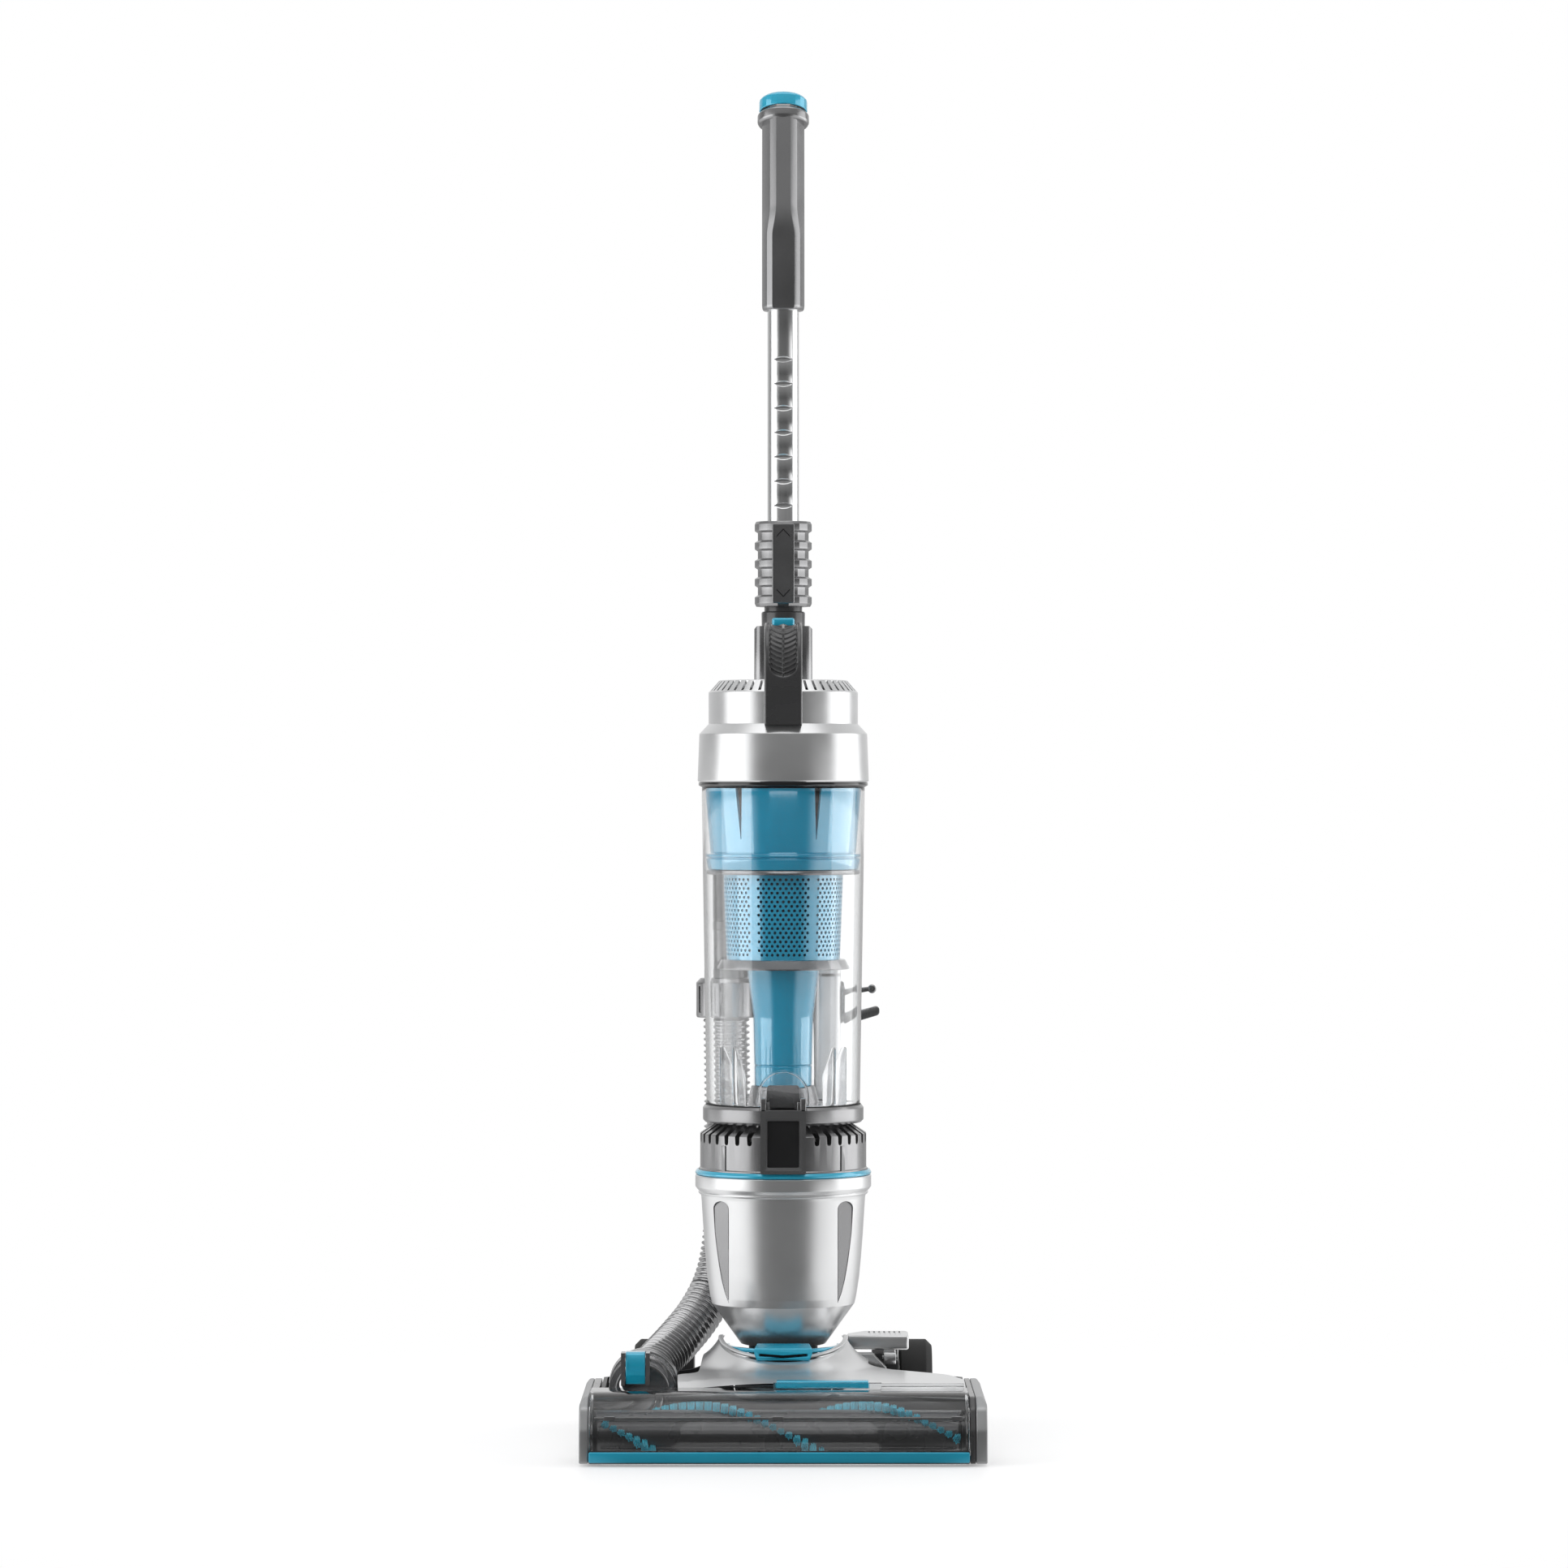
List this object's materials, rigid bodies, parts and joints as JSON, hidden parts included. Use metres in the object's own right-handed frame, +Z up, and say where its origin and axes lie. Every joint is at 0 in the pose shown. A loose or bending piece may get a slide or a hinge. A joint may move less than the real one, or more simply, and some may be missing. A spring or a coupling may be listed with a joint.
{
  "type": "upright vacuum cleaner",
  "caption": "Upright vacuum cleaner with a clear cyclone bin over a bucket-shaped motor housing, a wide powered brush head, a corrugated hose and a telescopic handle.",
  "frame": {"origin": "on the floor, under the centre of the box round the whole cleaner without its hose", "axes": "+Z up, the cleaning head's front at -Y, +X to the right seen from in front"},
  "size_m": [0.308, 0.3232, 1.0707],
  "materials": {
    "silver_plastic": "satin metallic moulded plastic",
    "dark_plastic": "glossy dark grey moulded plastic",
    "black_plastic": "fine-grained black plastic",
    "teal_plastic": "glossy teal moulded plastic",
    "teal_clear": "tinted translucent teal plastic",
    "clear_plastic": "clear polycarbonate",
    "light_plastic": "light grey moulded plastic",
    "hose_plastic": "corrugated grey hose over a spiral wire",
    "aluminium": "bright anodised tube",
    "steel": "turned steel",
    "rubber": "soft black rubber",
    "bristle": "teal nylon bristle",
    "filter": "pleated and foam filter"
  },
  "bodies": {
    "floor_head": {"sole_plate": "black_plastic", "head_base": "black_plastic", "head_cover": "silver_plastic", "end_cap_left": "silver_plastic", "end_cap_right": "silver_plastic", "bumper_strip": "teal_plastic", "brush_bearings": "steel", "brush_motor": "steel", "drive_belt": "rubber", "suction_duct": "black_plastic", "axle_pins": "steel", "neck_trim": "teal_plastic", "hose_socket": "clear_plastic", "hose_cuff_lower": "dark_plastic", "clip_cheeks": "light_plastic"},
    "brush_roll": {"brush_core": "dark_plastic", "brush_tufts": "bristle"},
    "motor_pulley": {"motor_pulley": "steel"},
    "wheel_left": {"wheel_left": "black_plastic"},
    "wheel_right": {"wheel_right": "black_plastic"},
    "roller_left": {"roller_left": "rubber"},
    "roller_right": {"roller_right": "rubber"},
    "release_pedal": {"release_pedal": "silver_plastic"},
    "window": {"brush_window": "clear_plastic"},
    "window_latch": {"window_latch": "teal_plastic"},
    "hose_clip": {"hose_clip": "teal_plastic"},
    "neck": {"neck_pivot": "dark_plastic", "hose": "hose_plastic"},
    "upright": {"motor_housing": "silver_plastic", "suction_motor": "steel", "motor_mounts": "rubber", "exhaust_filter": "filter", "trim_ring": "teal_plastic", "vent_collar": "dark_plastic", "bin_bracket": "dark_plastic", "spine": "dark_plastic", "spine_head": "silver_plastic", "outer_tube": "light_plastic", "hose_cuff_upper": "dark_plastic", "inlet_duct": "light_plastic", "tool_hook": "light_plastic", "hook_pin": "steel", "cord_gland": "rubber"},
    "fan": {"fan_impeller": "aluminium"},
    "crevice_tool": {"crevice_tool": "light_plastic"},
    "cable_hook": {"cable_hook_upper": "dark_plastic"},
    "power_switch": {"power_switch": "teal_plastic"},
    "height_collar": {"height_collar": "dark_plastic"},
    "handle": {"tele_tube": "aluminium", "grip_shell": "dark_plastic", "grip_cap": "teal_plastic"},
    "bin": {"bin_cup": "clear_plastic", "bin_door": "dark_plastic"},
    "cyclone": {"cyclone_top": "teal_clear", "mesh_shroud": "teal_plastic", "cyclone_cone": "teal_plastic", "pre_motor_filter": "filter"},
    "lid": {"bin_lid": "silver_plastic", "bin_handle": "dark_plastic"},
    "release_button": {"release_button": "teal_plastic"}
  },
  "joints": [
    {"name": "recline", "type": "hinge", "parent": "floor_head", "child": "neck", "pos_m": [0, 0.0285, 0.048], "axis": [-1, 0, 0], "range_deg": [0, 60], "deforming": ["hose"]},
    {"name": "swivel", "type": "hinge", "parent": "neck", "child": "upright", "pos_m": [0, 0.0285, 0.08], "axis": [0, 0, 1], "range_deg": [-35, 35], "deforming": ["hose"]},
    {"name": "brush_spin", "type": "hinge", "parent": "floor_head", "child": "brush_roll", "pos_m": [0, -0.1165, 0.023], "axis": [1, 0, 0], "continuous": true},
    {"name": "pulley_spin", "type": "hinge", "parent": "floor_head", "child": "motor_pulley", "pos_m": [0.134, -0.0475, 0.027], "axis": [1, 0, 0], "continuous": true},
    {"name": "wheel_left_spin", "type": "hinge", "parent": "floor_head", "child": "wheel_left", "pos_m": [-0.106, 0.123, 0.0345], "axis": [1, 0, 0], "continuous": true},
    {"name": "wheel_right_spin", "type": "hinge", "parent": "floor_head", "child": "wheel_right", "pos_m": [0.106, 0.123, 0.0345], "axis": [1, 0, 0], "continuous": true},
    {"name": "roller_left_spin", "type": "hinge", "parent": "floor_head", "child": "roller_left", "pos_m": [-0.098, -0.0715, 0.008], "axis": [1, 0, 0], "continuous": true},
    {"name": "roller_right_spin", "type": "hinge", "parent": "floor_head", "child": "roller_right", "pos_m": [0.098, -0.0715, 0.008], "axis": [1, 0, 0], "continuous": true},
    {"name": "pedal_press", "type": "hinge", "parent": "floor_head", "child": "release_pedal", "pos_m": [0.084, 0.0485, 0.062], "axis": [-1, 0, 0], "range_deg": [0, 10], "stiffness_Nm_per_rad": 2, "springref_deg": -5.73},
    {"name": "window_lift", "type": "slide", "parent": "floor_head", "child": "window", "axis": [0, 0, 1], "range_m": [0, 0.05]},
    {"name": "latch_slide", "type": "slide", "parent": "window", "child": "window_latch", "axis": [1, 0, 0], "range_m": [0, 0.008]},
    {"name": "clip_release", "type": "hinge", "parent": "floor_head", "child": "hose_clip", "pos_m": [-0.113, -0.087, 0.059], "axis": [1, 0, 0], "range_deg": [0, 12], "stiffness_Nm_per_rad": 0.1, "springref_deg": -5.73},
    {"name": "fan_spin", "type": "hinge", "parent": "upright", "child": "fan", "pos_m": [0, 0.0285, 0.19], "axis": [0, 0, 1], "continuous": true},
    {"name": "tool_lift", "type": "slide", "parent": "upright", "child": "crevice_tool", "axis": [0, 0, 1], "range_m": [0, 0.1]},
    {"name": "hook_turn", "type": "hinge", "parent": "upright", "child": "cable_hook", "pos_m": [0, 0.1479, 0.624], "axis": [0, 1, 0], "range_deg": [0, 180]},
    {"name": "switch_press", "type": "slide", "parent": "upright", "child": "power_switch", "axis": [0, -1, 0], "range_m": [0, 0.0015], "stiffness_N_per_m": 300, "springref_m": -0.001},
    {"name": "collar_slide", "type": "slide", "parent": "upright", "child": "height_collar", "axis": [0, 0, 1], "range_m": [-0.003, 0.003], "stiffness_N_per_m": 1500},
    {"name": "tube_slide", "type": "slide", "parent": "upright", "child": "handle", "axis": [0, 0, 1], "range_m": [-0.1365, 0]},
    {"name": "bin_lift", "type": "slide", "parent": "upright", "child": "bin", "axis": [0, 0, 1], "range_m": [0, 0.06]},
    {"name": "cyclone_lift", "type": "slide", "parent": "bin", "child": "cyclone", "axis": [0, 0, 1], "range_m": [0, 0.26]},
    {"name": "lid_lift", "type": "slide", "parent": "cyclone", "child": "lid", "axis": [0, 0, 1], "range_m": [0, 0.06]},
    {"name": "button_press", "type": "slide", "parent": "lid", "child": "release_button", "axis": [0, 0, -1], "range_m": [0, 0.004], "stiffness_N_per_m": 300, "springref_m": -0.001}
  ],
  "couplings": [
    {"joint": "pulley_spin", "follows": "brush_spin", "ratio": 1.7937}
  ]
}
